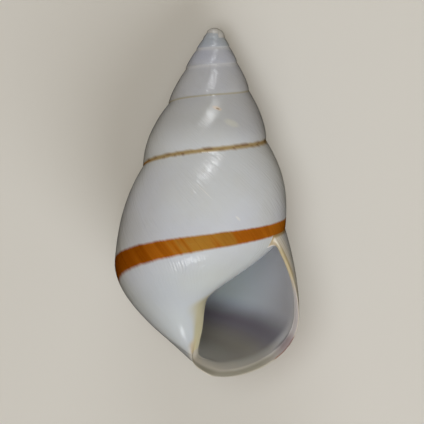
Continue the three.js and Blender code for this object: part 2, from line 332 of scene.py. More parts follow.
rows = (
    stretch(0, UPPER_ROWS, UPPER_STEPS)
    + stretch(UPPER_ROWS, SEAM_ROW, SEAM_STEPS)
    + stretch(SEAM_ROW, SEAM_ROW + 1, LIP_STEPS)
    + stretch(SEAM_ROW + 1, BASE_ROW, BASE_STEPS)
    + stretch(BASE_ROW, PILLAR_ROW, PILLAR_STEPS)
    + [PILLAR_ROW]
)
lips = np.array([lip_stage(row) for row in rows])
seam_index = UPPER_STEPS + SEAM_STEPS
wall_index = seam_index + LIP_STEPS
last_index = len(rows) - 1
first_column = round(WHORLS * COLUMNS)
hollow_columns = round(HOLLOW_WHORLS * COLUMNS)


def stage_at(column, index):
    """Columns are meridians, but the youngest lean to follow the lip, and the foot's follow the pillar."""
    whorls = np.asarray(column, float) / COLUMNS
    to_lip = lips[index] * ease(1 - whorls / LIP_BLEND)
    lead = FOOT_LEAD * ease((rows[index] - BASE_ROW) / (PILLAR_ROW - BASE_ROW))
    return -whorls + to_lip + lead * ease(1 - np.abs(whorls - 1) / LIP_BLEND)


def across_at(stage, row):
    """0 at the upper seam of a whorl and 1 at its lower seam."""
    w = Whorl(stage)
    depth = row_point(np.minimum(stage, FOOT_STAGE) if row > BASE_ROW else stage, row)[1]
    return (depth - w.top) / (w.bottom - w.top)


# Growth lines run alongside the lip, and lean more further back. What has grown is measured in
# millimetres along the widest part, from the first whorl on.
GROWTH_LEAN = 0.09
GROWTH_LEANS_BY = 0.5
GROWTH_MARGIN = 0.5
GROWTH_SAMPLES = 1400
growth_stages = np.linspace(-WHORLS - GROWTH_MARGIN, GROWTH_MARGIN, GROWTH_SAMPLES)
growth_steps = TURN * Whorl(growth_stages).radius * (growth_stages[1] - growth_stages[0])
growth_lengths = np.cumsum(growth_steps)
base_index = rows.index(BASE_ROW)
lip_across = np.maximum.accumulate([float(across_at(lips[k], rows[k])) for k in range(base_index + 1)])


def grown(stage, index):
    """How much had grown when the growth line through each point was the lip."""
    across = across_at(stage, min(rows[index], BASE_ROW))
    lip = np.interp(across, lip_across, lips[: base_index + 1])
    lip = lip - GROWTH_LEAN * np.minimum(across, 1) * ease(-stage / GROWTH_LEANS_BY)
    if index > base_index:
        lip = lip + lips[index] - lips[base_index]
    return np.interp(stage - lip, growth_stages, growth_lengths)


# The growth ripples are a sum of waves: the rate and the phase of each, how fast they weaken, and
# what brings the sum back to about one. The last wave is the finest, GROWTH_WAVE millimetres long.
RIPPLE_WAVES = ((1.0, 0.3), (1.37, 1.9), (2.23, 4.1), (3.61, 0.7), (5.17, 2.6))
RIPPLE_WEAKENS = 0.4
RIPPLE_SUM = 2.2
GROWTH_WAVE = 1.5
GROWTH_RELIEF = 0.014
UPPER_SEAM_FADE = 1.2
LOWER_SEAM_FADE = 0.8


def ripple(length):
    """Uneven waves of about one unit, the same on every run."""
    longest = GROWTH_WAVE * RIPPLE_WAVES[-1][0]
    return sum(np.sin(TURN * length * rate / longest + phase) / (1 + RIPPLE_WEAKENS * n)
               for n, (rate, phase) in enumerate(RIPPLE_WAVES)) / RIPPLE_SUM


def relief(stage, index):
    """Height of the growth ripples, which fade out at the seams."""
    row = rows[index]
    near_seam = ease(row / UPPER_SEAM_FADE) * ease(abs(SEAM_ROW - row) / LOWER_SEAM_FADE)
    fade = float(near_seam) if row <= SEAM_ROW else 1.0
    return GROWTH_RELIEF * fade * ripple(grown(stage, index)) * (row <= BASE_ROW)


def outer_row(columns, index):
    """Points on the outside, raised by the growth ripples."""
    stage = stage_at(columns, index)
    points = surface_point(stage, rows[index])
    out = points * (1, 1, 0) - place(0 * stage, -points[..., 2], stage) * (1, 1, 0)
    out /= np.maximum(np.linalg.norm(out, axis=-1, keepdims=True), TINY)
    return points + out * relief(stage, index)[..., None]


# Steps to an older column and to a lower row, which tell which way the surface faces.
COLUMN_PROBE = 0.5
ROW_PROBE = 0.1

# Where the curves bend that round the mouth's upper corner and the foot of the pillar: at a share
# of the corner's rows, and in the direction of a row that many steps past the base.
CORNER_PULL = 0.45
FILLET_CORNER_STEPS = 6


def inner_row(columns, index, row=None):
    """Points on the inside of the wall, straight in from the outside."""
    row = rows[index] if row is None else row
    stage = stage_at(columns, index)
    points = surface_point(stage, row)
    older = surface_point(stage_at(columns + COLUMN_PROBE, index), row) - points
    lower = surface_point(stage, row + ROW_PROBE) - points
    outward = np.cross(lower, older)
    outward /= np.linalg.norm(outward, axis=-1, keepdims=True)
    whorls = columns / COLUMNS
    walls = 1 + (BASE_WALLS - 1) * float(ease((row - UPPER_ROWS) / (BASE_ROW - UPPER_ROWS)))
    edge = lip_edge(row)
    thickness = edge + (walls * wall(-whorls) - edge) * ease(whorls / LIP_BEVEL)
    return points - outward * thickness[..., None]


def corner_row(columns, index):
    """Rounded corner between the wall and the whorl that it sits on."""
    k = rows[index] / MOUTH_CORNER_ROW
    start = outer_row(columns + COLUMNS, wall_index)
    join = rows.index(min(rows, key=lambda row: abs(row - MOUTH_CORNER_ROW)))
    end = inner_row(columns, join)
    corner = inner_row(columns, join, CORNER_PULL * MOUTH_CORNER_ROW)
    return bezier(start, corner, end, k)


def fillet_row(columns, index):
    """Hollow corner between the floor and the pillar."""
    k = (rows[index] - BASE_ROW) / (PILLAR_ROW - BASE_ROW)
    start = inner_row(columns, base_index)
    late = np.minimum(stage_at(columns, base_index), FOOT_STAGE)
    deep = base_point(late, PILLAR_SHARE)[1] - wall(late)
    azimuth = azimuth_of(stage_at(columns, base_index + FILLET_CORNER_STEPS))
    corner = place(pillar_radius(late, deep), deep, azimuth)
    return bezier(start, corner, outer_row(columns + COLUMNS, last_index), k)


def bezier(start, corner, end, k):
    """Points on a curve from start to end that bends towards the corner."""
    return start * (1 - k) ** 2 + corner * 2 * k * (1 - k) + end * k * k


# The brown band runs along the lower seam and widens in two steps. Each has the width that it adds,
# the stage where it starts and the whorls that it takes. Widths are shares of the whorl's height.
BAND_WIDENS = ((0.145, -1.75, 0.6), (0.045, -1.0, 0.4))
BAND_LOWER_EDGE = 1.005
LEAST_BAND = 0.012


def band_place(stage, across):
    """0 at the upper edge of the brown band and 1 at its lower edge; the band starts as a hidden line."""
    width = sum(gain * ease((stage - start) / whorls) for gain, start, whorls in BAND_WIDENS)
    return (across - BAND_LOWER_EDGE + width) / np.maximum(width, LEAST_BAND)


class Skin:
    """Collects points, faces and, for each corner of a face, what the material reads there."""

    names = (
        "grown", "stage", "across", "band", "seam_gap",
        "seam_stage", "inside", "lip_gap", "strip", "foot",
    )

    def __init__(self):
        self.points = []
        self.faces = []
        self.corners = []
        self.count = 0

    def add(self, points):
        """Keeps the points and gives back their numbers."""
        points = np.atleast_2d(points)
        self.points.append(points)
        self.count += len(points)
        return np.arange(self.count - len(points), self.count)

    def quads(self, grid, values, shown=None):
        """Faces of a grid of points; the first axis runs to older columns, the second down the rows."""
        corners = [grid[:-1, :-1], grid[:-1, 1:], grid[1:, 1:], grid[1:, :-1]]
        read = [values[:-1, :-1], values[:-1, 1:], values[1:, 1:], values[1:, :-1]]
        index = np.stack(corners, -1).reshape(-1, 4)
        value = np.stack(read, 2).reshape(-1, 4, len(self.names))
        keep = np.ones(len(index), bool) if shown is None else shown.reshape(-1)
        self.faces += index[keep].tolist()
        self.corners.append(value[keep].reshape(-1, len(self.names)))

    def fan(self, ring, values, tip, tip_value):
        """Triangles from a row of points to one tip."""
        for k in range(len(ring) - 1):
            self.faces.append([int(ring[k]), int(tip), int(ring[k + 1])])
            self.corners.append(np.stack([values[k], tip_value, values[k + 1]]))


# What the material reads where no seam or band is near.
FAR = 9

# How much further across each row of the pillar counts, below the base.
PILLAR_ROW_ACROSS = 0.1

# Where the yellowish strip on the pillar ends towards the lip and towards older shell, and where the
# orange spot on the foot lies, in stages and rows.
STRIP_YOUNGEST = PILLAR_SIDE + 0.03
STRIP_YOUNG_FADE = 0.1
STRIP_OLDEST = -1.25
STRIP_OLD_FADE = 0.15
FOOT_SPOT_ROWS = 1.6
FOOT_SPOT_FADE = 0.8
FOOT_SPOT_SHIFT = 0.02
FOOT_SPOT_SIZE = 0.08


def strip_at(stage, row):
    """1 on the front of the pillar, where the yellowish strip lies."""
    young = ease((STRIP_YOUNGEST - stage) / STRIP_YOUNG_FADE)
    old = ease((stage - STRIP_OLDEST) / STRIP_OLD_FADE)
    return ease(row - BASE_ROW + 1) * young * old


def foot_spot_at(stage, row):
    """1 at the tip of the foot, on the pillar's side."""
    low = ease((row - PILLAR_ROW + FOOT_SPOT_ROWS) / FOOT_SPOT_FADE)
    return low * np.exp(-((stage - PILLAR_SIDE - FOOT_SPOT_SHIFT) / FOOT_SPOT_SIZE) ** 2)


def seam_gap_at(stage, columns, row, depth):
    """Depth between a point and the nearer seam, where that shows."""
    w = Whorl(stage)
    if row <= SEAM_ROW / 2:
        return depth - w.top
    if row > SEAM_ROW + 1:
        return np.full_like(stage, FAR)
    return np.where(columns < COLUMNS, FAR, np.abs(w.bottom - depth))


def read_at(columns, index, inside):
    """What the material reads on one row."""
    stage = stage_at(columns, index)
    row = rows[index]
    radius, depth = row_point(np.minimum(stage, FOOT_STAGE) if row > BASE_ROW else stage, row)
    across = across_at(stage, min(row, BASE_ROW)) + PILLAR_ROW_ACROSS * max(row - BASE_ROW, 0)
    return np.stack([
        grown(stage, index),
        stage,
        across,
        band_place(stage, across) if row <= BASE_ROW else np.full_like(stage, FAR),
        seam_gap_at(stage, columns, row, depth),
        stage if row <= SEAM_ROW / 2 else stage + 1,
        np.full_like(stage, inside),
        columns / COLUMNS * TURN * radius,
        strip_at(stage, row) * (1 - inside),
        foot_spot_at(stage, row) * (1 - inside),
    ], -1)


def build_shell():
    """The outside, then the apex and the inside."""
    skin = Skin()
    columns = np.arange(first_column + 1, dtype=float)
    deep = COLUMNS + hollow_columns
    grid = np.full((first_column + 1, last_index + 1), -1)
    values = np.zeros((first_column + 1, last_index + 1, len(Skin.names)))
    for index in range(last_index + 1):
        own = columns if index <= seam_index else columns[: deep + 1]
        values[: len(own), index] = read_at(own, index, 0)
        if index == seam_index:
            grid[COLUMNS:, index] = grid[: first_column + 1 - COLUMNS, 0]
            own = own[:COLUMNS]
        grid[: len(own), index] = skin.add(outer_row(own, index))
    column_ids = np.arange(first_column)[:, None]
    row_ids = np.arange(last_index)[None, :]
    shown = (row_ids < seam_index) | (column_ids < COLUMNS) | ((column_ids < deep) & (row_ids >= wall_index))
    skin.quads(grid, values, shown)
    add_apex(skin, grid, values)
    add_inside(skin, grid, values)
    return skin


def add_apex(skin, grid, values):
    """Blunt dome over the first turn of the spiral."""
    loop = [(column, 0) for column in range(first_column - COLUMNS, first_column + 1)]
    loop += [(first_column, index) for index in range(1, seam_index + 1)]
    ids = np.array([grid[at] for at in loop])
    read = np.array([values[first_column, 0] for _ in loop])
    points = np.concatenate(skin.points)[ids]
    centre = place(0.0, 0.0, 0.0)
    below = ids
    for ring in range(1, DOME_RINGS + 1):
        angle = math.pi / 2 * (1 - ring / (DOME_RINGS + 1))
        dome = centre + (points - centre) * (math.sin(angle), math.sin(angle), 1 - math.cos(angle))
        dome_ids = skin.add(dome[:-1])
        dome_ids = np.append(dome_ids, dome_ids[0])
        skin.quads(np.stack([below, dome_ids]), np.stack([read, read]))
        below = dome_ids
    tip = skin.add(centre)[0]
    skin.fan(below[::-1], read, tip, read[0])


def add_inside(skin, grid, values):
    """Inside of the last whorls, then the rounded lip and the older end of the hollow."""
    columns = np.arange(hollow_columns + 1, dtype=float)
    inner = np.zeros((hollow_columns + 1, last_index + 1), int)
    inner_values = np.stack([read_at(columns, index, 1) for index in range(last_index + 1)], 1)
    inner[:, 0] = grid[COLUMNS: COLUMNS + hollow_columns + 1, wall_index]
    inner[:, last_index] = grid[COLUMNS: COLUMNS + hollow_columns + 1, last_index]
    for index in range(1, last_index):
        row = rows[index]
        make = corner_row if row < MOUTH_CORNER_ROW else (inner_row if row <= BASE_ROW else fillet_row)
        inner[:, index] = skin.add(make(columns, index))
    skin.quads(inner[::-1], inner_values[::-1])
    add_lip(skin, grid, values, inner, inner_values)
    add_blind_end(skin, grid, values, inner, inner_values)


# How far the lip's edge bulges forward for its thickness, which column behind it shows the way
# forward, and the rows over which the bulge builds up from the upper corner.
LIP_PUSH = 0.75
COLUMN_BEHIND_LIP = 3
LIP_PUSH_ROWS = 1.5


def add_lip(skin, grid, values, inner, inner_values):
    """Rounded edge from the outside of the lip to its inside, and the tip of the foot."""
    points = np.concatenate(skin.points)
    outside, inside = points[grid[0]], points[inner[0]]
    forward = (outside + inside - points[grid[COLUMN_BEHIND_LIP]] - points[inner[COLUMN_BEHIND_LIP]]) / 2
    forward /= np.maximum(np.linalg.norm(forward, axis=-1, keepdims=True), TINY)
    half = (outside - inside) / 2
    push = LIP_PUSH * np.linalg.norm(half, axis=-1) * ease(np.array(rows) / LIP_PUSH_ROWS)
    strips = [grid[0]]
    for step in range(1, LIP_STEPS):
        angle = math.pi * step / LIP_STEPS
        ring = (outside + inside) / 2 + half * math.cos(angle) + forward * (push * math.sin(angle))[:, None]
        ids = np.append(grid[COLUMNS, seam_index + step], skin.add(ring[1:]))
        strips.append(ids)
    strips.append(inner[0])
    lip = np.stack(strips)
    read = np.repeat(values[None, 0], LIP_STEPS + 1, 0)
    read[..., Skin.names.index("inside")] = np.linspace(0, 1, LIP_STEPS + 1)[:, None]
    skin.quads(lip[::-1], read[::-1])
    tip = skin.add(place(0.0, FOOT_DEPTH, 0.0))[0]
    foot_read = values[: COLUMNS + 1, last_index]
    skin.fan(grid[: COLUMNS + 1, last_index], foot_read, tip, foot_read[COLUMNS // 2])
    skin.fan(lip[::-1, last_index], read[::-1, last_index], tip, read[0, last_index])


def add_blind_end(skin, grid, values, inner, inner_values):
    """Closes the hollow at its older end."""
    last = COLUMNS + hollow_columns
    ring = np.concatenate([inner[-1], grid[last, wall_index:last_index][::-1]])
    read = np.concatenate([inner_values[-1], values[last, wall_index:last_index][::-1]])
    points = np.concatenate(skin.points)
    centre = skin.add(points[ring].mean(0))[0]
    skin.fan(ring, read, centre, read[0])


# The end of the pillar and the lip beside it are rounded in two passes: reach in millimetres,
# rounds, and the share of the way to its neighbours that a point moves in each half of a round, or
# back from them with a minus. The last value tells how steeply a pass fades out at its reach.
FOOT_PASSES = ((7.0, 60, 0.5, -0.52), (4.5, 20, 0.5, 0.5))
FOOT_PASS_EDGE = 1.5


def soften_foot(points, faces):
    """Moves points near the foot towards their neighbours."""
    away = np.linalg.norm(points - place(0.0, FOOT_DEPTH, 0.0), axis=1)
    edges = []
    for face in faces:
        if away[face].min() < FOOT_PASSES[0][0]:
            edges += zip(face, face[1:] + face[:1])
    start, end = np.array(edges).T
    count = np.bincount(start, minlength=len(points)) + np.bincount(end, minlength=len(points))
    count = np.maximum(count, 1)
    for reach, rounds, pull, push in FOOT_PASSES:
        near = ease(FOOT_PASS_EDGE * (1 - away / reach))[:, None]
        for step in range(2 * rounds):
            total = np.zeros_like(points)
            np.add.at(total, start, points[end])
            np.add.at(total, end, points[start])
            towards = total / count[:, None] - points
            points = points + near * towards * (pull if step % 2 == 0 else push)
    return points


def lay_down(points):
    """Standing millimetres to lying metres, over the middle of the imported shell's own box."""
    turn = Matrix.Rotation(AXIS_TIP, 3, "X") @ Matrix.Rotation(MOUTH_TURN, 3, "Z")
    laid = points @ np.array(turn).T * MM
    low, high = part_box("shell")
    shift = np.array([(low.x + high.x) / 2, (low.y + high.y) / 2, low.z])
    middle = (laid.min(0) + laid.max(0)) / 2
    move = shift - np.array([middle[0], middle[1], laid[:, 2].min()])
    return laid + move, np.array(turn), move


def make_shell(material):
    """The shell as one mesh, and how it was turned and moved to lie down."""
    skin = build_shell()
    points, turn, move = lay_down(soften_foot(np.concatenate(skin.points), skin.faces))
    mesh = bpy.data.meshes.new("shell_surface")
    mesh.from_pydata(points.tolist(), [], skin.faces)
    corners = np.concatenate(skin.corners).astype(np.float32)
    for k, name in enumerate(Skin.names):
        attribute = mesh.attributes.new(name, "FLOAT", "CORNER")
        attribute.data.foreach_set("value", np.ascontiguousarray(corners[:, k]))
    mesh.polygons.foreach_set("use_smooth", [True] * len(mesh.polygons))
    mesh.materials.append(material)
    mesh.update()
    shell = bpy.data.objects.new("shell_skin", mesh)
    bpy.context.collection.objects.link(shell)
    return shell, turn, move


class Nodes:
    """Short way to write a node tree."""

    def __init__(self, material):
        material.use_nodes = True
        self.tree = material.node_tree
        self.tree.nodes.clear()

    def new(self, kind, **settings):
        """A new node with these settings."""
        node = self.tree.nodes.new(kind)
        for name, value in settings.items():
            setattr(node, name, value)
        return node

    def set(self, socket, value):
        """Links a socket, or sets it to a constant."""
        if isinstance(value, bpy.types.NodeSocket):
            self.tree.links.new(value, socket)
        else:
            socket.default_value = value

    def read(self, name):
        """One of the values that the skin keeps for each corner of its faces."""
        return self.new("ShaderNodeAttribute", attribute_name=name).outputs["Fac"]

    def math(self, operation, a, b):
        node = self.new("ShaderNodeMath", operation=operation)
        self.set(node.inputs[0], a)
        self.set(node.inputs[1], b)
        return node.outputs[0]

    def plus(self, a, b):
        return self.math("ADD", a, b)

    def minus(self, a, b):
        return self.math("SUBTRACT", a, b)

    def over(self, a, b):
        return self.math("DIVIDE", a, b)

    def times(self, product, *others):
        for other in others:
            product = self.math("MULTIPLY", product, other)
        return product

    def step(self, value, start, end):
        """0 before start, 1 after end, smooth between them."""
        node = self.new("ShaderNodeMapRange", interpolation_type="SMOOTHSTEP")
        self.set(node.inputs["Value"], value)
        self.set(node.inputs["From Min"], min(start, end))
        self.set(node.inputs["From Max"], max(start, end))
        self.set(node.inputs["To Min"], 0.0 if start < end else 1.0)
        self.set(node.inputs["To Max"], 1.0 if start < end else 0.0)
        return node.outputs["Result"]

    def vector(self, x, y):
        node = self.new("ShaderNodeCombineXYZ")
        self.set(node.inputs["X"], x)
        self.set(node.inputs["Y"], y)
        return node.outputs[0]

    def noise(self, vector, scale, detail, roughness=0.5):
        node = self.new("ShaderNodeTexNoise")
        self.set(node.inputs["Vector"], vector)
        self.set(node.inputs["Scale"], scale)
        self.set(node.inputs["Detail"], detail)
        self.set(node.inputs["Roughness"], roughness)
        return node.outputs["Fac"]

    def mix(self, share, a, b, blend="MIX"):
        node = self.new("ShaderNodeMix", data_type="RGBA", blend_type=blend)
        self.set(node.inputs["Factor"], share)
        self.set(node.inputs["A"], a)
        self.set(node.inputs["B"], b)
        return node.outputs["Result"]

    def ramp(self, value, stops):
        """Colour for the value, out of positions with their colours."""
        node = self.new("ShaderNodeValToRGB")
        self.set(node.inputs["Fac"], value)
        elements = node.color_ramp.elements
        while len(elements) < len(stops):
            elements.new(0.5)
        for element, (position, color) in zip(elements, stops):
            element.position = position
            element.color = color
        return node.outputs["Color"]


def tone(red, green, blue):
    """A colour written as screen values, for the shader."""
    def linear(value):
        value /= 255
        return value / 12.92 if value <= 0.04045 else ((value + 0.055) / 1.055) ** 2.4
    return (linear(red), linear(green), linear(blue), 1)


PORCELAIN = tone(224, 228, 236)
PORCELAIN_COOL = tone(217, 223, 228)
PORCELAIN_CLOUD = tone(214, 214, 209)
TINT_WARM = tone(254, 255, 253)
TINT_LILAC = tone(250, 251, 255)
SPIRE_GREY = tone(201, 203, 207)
TIP_LILAC = tone(194, 198, 210)
TIP_GREY = tone(182, 190, 201)
TIP_PALE = tone(202, 200, 200)
BAND_DARK = tone(166, 88, 4)
BAND_BROWN = tone(190, 114, 26)
BAND_AMBER = tone(180, 104, 22)
BAND_GOLD = tone(186, 134, 52)
BAND_STREAK = tone(140, 74, 2)
SEAM_OCHRE = tone(184, 156, 96)
SEAM_BROWN = tone(134, 94, 38)
SEAM_YELLOW = tone(186, 176, 138)
SEAM_PALE = tone(222, 224, 229)
INSIDE_BLUE = tone(230, 243, 255)
INSIDE_GREY = tone(222, 221, 228)
INSIDE_DARK = tone(146, 139, 149)
INSIDE_WARM = tone(172, 165, 153)
# Sage tint of the floor beside the pillar, partly its own colour and partly painted light in the pillar's
# shade.
SAGE_AND_PAINTED_LIGHT = tone(252, 253, 243)
# Painted light: the floor of the hollow is made paler towards the lip, where more light gets in.
PAINTED_FLOOR_LIGHT = tone(253, 253, 245)
EDGE_BEIGE = tone(232, 228, 206)
# The inside next to the lip: partly its own pale and grey colour, partly painted light shining through the
# thin lip.
RIM_PALE_AND_LIGHT = tone(252, 250, 253)
RIM_GREY_AND_LIGHT = tone(202, 197, 186)
RIM_PINK = tone(142, 126, 130)
CREST_PALE = tone(182, 177, 178)
CREST_CORNER = tone(206, 190, 160)
# Grey of the lip's crest at the base: partly its own colour, partly painted shade of the thin lip.
CREST_GREY_AND_SHADE = tone(150, 147, 134)
LIP_BEIGE = tone(253, 244, 228)
FOOT_ORANGE = tone(216, 192, 140)
LIP_OCHRE = tone(208, 190, 146)
STRIP_YELLOW = tone(204, 197, 160)


# Noise that follows the growth lines: how fast it changes across the whorl compared with along it,
# scale, detail and roughness. Clouds and drift are noise in space: scale and detail.
FINE_NOISE = (1.5, 3.0, 1.0, 0.5)
STRIA_NOISE = (2.0, 3.6, 0.0, 0.5)
STREAK_NOISE = (0.7, 0.7, 2.5, 0.55)
CLOUD_NOISE = (160.0, 3.0)
DRIFT_NOISE = (90.0, 1.0)
NOISE_MIDDLE = 0.5


class ShellNodes(Nodes):
    """The shell's node tree, with the values that its colours share."""

    def __init__(self, material):
        super().__init__(material)
        self.age = self.read("stage")
        self.across = self.read("across")
        self.down = self.plus(self.age, self.across)
        self.length = self.read("grown")
        self.inside = self.read("inside")
        self.lip_gap = self.read("lip_gap")
        self.fine = self.growth_noise(*FINE_NOISE)
        self.stria = self.growth_noise(*STRIA_NOISE)
        self.streak = self.growth_noise(*STREAK_NOISE)
        space = self.new("ShaderNodeTexCoord").outputs["Object"]
        self.cloud = self.noise(space, *CLOUD_NOISE)
        self.drift = self.noise(space, *DRIFT_NOISE)

    def growth_noise(self, squeeze, scale, detail, roughness):
        """Noise that follows the growth lines."""
        at = self.vector(self.length, self.times(self.across, squeeze))
        return self.noise(at, scale, detail, roughness)

    def spread(self, noise, size):
        """Noise spread evenly about zero."""
        return self.times(self.minus(noise, NOISE_MIDDLE), size)


# From here on a pair of numbers tells where a change starts and where it is complete. Across runs
# from 0 at a whorl's upper seam to 1 at its lower seam, and down is age plus across. Ages and stages
# are in whorls, gaps and widths in millimetres, and noise lies about 0.5.
SUBSURFACE_SHARE = 0.6
SUBSURFACE_COLOR = (1.0, 0.95, 0.9)
SUBSURFACE_DEPTH = 0.001
SPECULAR = 0.3
COAT = 0.45
COAT_ROUGHNESS = 0.12
BODY_ROUGHNESS = 0.14
SPIRE_SMOOTHER = 0.07
SPIRE_SMOOTHS = (-0.9, -2.2)
STREAK_ROUGHNESS = 0.12


def shell_material():
    """Porcelain with a thin clear coat."""
    material = bpy.data.materials.new("porcelain_shell")
    n = ShellNodes(material)
    shader = n.new("ShaderNodeBsdfPrincipled")
    n.set(shader.inputs["Base Color"], shell_color(n))
    gloss = n.minus(BODY_ROUGHNESS, n.times(n.step(n.down, *SPIRE_SMOOTHS), SPIRE_SMOOTHER))
    n.set(shader.inputs["Roughness"], n.plus(gloss, n.times(n.streak, STREAK_ROUGHNESS)))
    shader.inputs["Subsurface Weight"].default_value = SUBSURFACE_SHARE
    shader.inputs["Subsurface Radius"].default_value = SUBSURFACE_COLOR
    shader.inputs["Subsurface Scale"].default_value = SUBSURFACE_DEPTH
    shader.inputs["Specular IOR Level"].default_value = SPECULAR
    shader.inputs["Coat Weight"].default_value = COAT
    shader.inputs["Coat Roughness"].default_value = COAT_ROUGHNESS
    height = stria_height(n)
    n.set(shader.inputs["Normal"], stria_bump(n, height, SURFACE_STRIA))
    n.set(shader.inputs["Coat Normal"], stria_bump(n, height, COAT_STRIA))
    output = n.new("ShaderNodeOutputMaterial")
    n.set(output.inputs["Surface"], shader.outputs["BSDF"])
    return material


# Depth of the finest growth lines in metres, in the surface and in its coat.
SURFACE_STRIA = 0.000045
COAT_STRIA = 0.00009
STRIA_STRENGTH = 0.85
LEAST_STRIA = 0.4
STRIA_FADES_BELOW = (1.45, 1.1)
STRIA_FADES_INSIDE = (0.9, 0.1)


def stria_height(n):
    """Growth lines, stronger in some stretches than in others, and none inside the mouth."""
    height = n.times(n.stria, n.plus(LEAST_STRIA, n.streak))
    return n.times(height, n.step(n.across, *STRIA_FADES_BELOW), n.step(n.inside, *STRIA_FADES_INSIDE))


def stria_bump(n, height, depth):
    """The surface's direction with the growth lines raised by depth metres."""
    bump = n.new("ShaderNodeBump")
    bump.inputs["Distance"].default_value = depth
    bump.inputs["Strength"].default_value = STRIA_STRENGTH
    n.set(bump.inputs["Height"], height)
    return bump.outputs["Normal"]


CREST_SHOWS = (0.05, 0.4)
INSIDE_SHOWS = (0.6, 1.0)
STRIP_SHARE = 0.85
FOOT_SHARE = 0.6


def shell_color(n):
    """Outside, lip and inside, with the stains of the lip, the pillar and the foot."""
    color = n.mix(n.step(n.inside, *CREST_SHOWS), outer_color(n), crest_color(n))
    color = n.mix(n.step(n.inside, *INSIDE_SHOWS), color, inner_color(n))
    color = n.mix(stain_mask(n), color, RIM_PINK)
    color = n.mix(lip_mask(n), color, LIP_OCHRE)
    color = n.mix(n.times(n.read("strip"), STRIP_SHARE), color, STRIP_YELLOW)
    return n.mix(n.times(n.read("foot"), FOOT_SHARE), color, FOOT_ORANGE)


def outer_color(n):
    """The porcelain with its marks, its seams and its band."""
    color = outer_base(n)
    for at, size, share, mark in BLEMISHES:
        color = n.mix(n.times(blemish(n, at, size), share), color, mark)
    color = n.mix(beige_mask(n), color, LIP_BEIGE)
    color = n.mix(seam_mask(n), color, seam_color(n))
    return n.mix(band_mask(n), color, band_color(n))


BODY_COOLS = (0.9, 1.3)
SPIRE_GREYS = (-0.8, -1.4)
TIP_TURNS_LILAC = (-2.3, -3.2)
TIP_TURNS_GREY = (-3.5, -4.2)
TIP_TURNS_PALE = (-5.5, -5.9)
CLOUDS = (0.4, 0.75)
CLOUD_SHARE = 0.25
DRIFT = (0.35, 0.65)


def outer_base(n):
    """White porcelain, cooler below the band, greyer up the spire and lilac at the tip."""
    body = n.mix(n.step(n.across, *BODY_COOLS), PORCELAIN, PORCELAIN_COOL)
    spire = n.mix(n.step(n.down, *SPIRE_GREYS), body, SPIRE_GREY)
    lilac = n.mix(n.step(n.down, *TIP_TURNS_LILAC), spire, TIP_LILAC)
    tip = n.mix(n.step(n.down, *TIP_TURNS_GREY), lilac, TIP_GREY)
    tip = n.mix(n.step(n.down, *TIP_TURNS_PALE), tip, TIP_PALE)
    cloudy = n.mix(n.times(n.step(n.cloud, *CLOUDS), CLOUD_SHARE), tip, PORCELAIN_CLOUD)
    tint = n.mix(n.step(n.drift, *DRIFT), TINT_WARM, TINT_LILAC)
    return n.mix(1.0, cloudy, tint, "MULTIPLY")


# Length grown and place across the whorl, half width of both, share and colour: a small brown pit
# in a pinkish ring, a pale patch and two faint marks.
BLEMISHES = (
    ((106.25, 0.255), (0.62, 0.055), 0.7, tone(236, 218, 200)),
    ((106.25, 0.265), (0.3, 0.022), 0.9, tone(166, 146, 118)),
    ((106.9, 0.55), (1.05, 0.095), 0.6, tone(221, 222, 213)),
    ((173.2, 0.73), (0.25, 0.03), 0.6, tone(246, 246, 244)),
    ((174.2, 0.41), (0.08, 0.09), 0.6, tone(246, 246, 246)),
)
BLEMISH_UNEVEN = 1.5
BLEMISH_EDGE = (1.3, 0.1)


def blemish(n, at, size):
    """1 in the middle of an uneven oval spot and 0 outside it."""
    along = n.over(n.minus(n.length, at[0]), size[0])
    aside = n.over(n.minus(n.across, at[1]), size[1])
    away = n.plus(n.times(along, along), n.times(aside, aside))
    return n.step(n.plus(away, n.spread(n.fine, BLEMISH_UNEVEN)), *BLEMISH_EDGE)


FINE_RAGGED = 0.07
STREAK_RAGGED = 0.1
LOWER_RAGGED = 0.8
BAND_TOP = (-0.09, 0.1)
BAND_BOTTOM = (1.1, 0.88)


def band_mask(n):
    """The brown band, with ragged edges."""
    ragged = n.plus(n.spread(n.fine, FINE_RAGGED), n.spread(n.streak, STREAK_RAGGED))
    upper = n.plus(n.read("band"), ragged)
    lower = n.minus(n.read("band"), n.times(ragged, LOWER_RAGGED))
    return n.times(n.step(upper, *BAND_TOP), n.step(lower, *BAND_BOTTOM))


# Colours along the band. Their places are shares of the stretch, in whorls, that starts at the stage
# BAND_COLORS_FROM.
BAND_COLORS_FROM = -1.15
BAND_COLORS_TAKE = 0.65
BAND_COLORS = (
    (0.1, BAND_BROWN), (0.25, BAND_BROWN), (0.28, BAND_AMBER), (0.375, BAND_AMBER),
    (0.425, BAND_GOLD), (0.5, BAND_GOLD), (0.57, BAND_BROWN), (0.72, BAND_DARK),
)
BAND_UNEVEN = 0.2
STREAK_DARKENS = (0.48, 0.66)
FINE_DARKENS = (0.45, 0.8)
DARK_SHARE = 0.25


def band_color(n):
    """Gold in front, browner to both sides and dark on the left, in uneven streaks."""
    where = n.plus(n.age, n.spread(n.streak, BAND_UNEVEN))
    color = n.ramp(n.over(n.minus(where, BAND_COLORS_FROM), BAND_COLORS_TAKE), BAND_COLORS)
    dark = n.plus(n.step(n.streak, *STREAK_DARKENS), n.step(n.fine, *FINE_DARKENS))
    return n.mix(n.times(dark, DARK_SHARE), color, BAND_STREAK)


SEAM_STARTS = (-4.5, -4.1)
SPIRE_SEAM = (-2.2, -2.5)
SPIRE_SEAM_SIDE = (0.6, 0.4)
BODY_SEAM = (-1.45, -1.2)
SEAM_WIDTH = 0.14
SPIRE_SEAM_WIDER = 0.3
BODY_SEAM_WIDER = 0.5
SEAM_EDGE = (1.4, 0.2)
SEAM_SHARE = 0.6
BODY_SEAM_STRONGER = 0.3


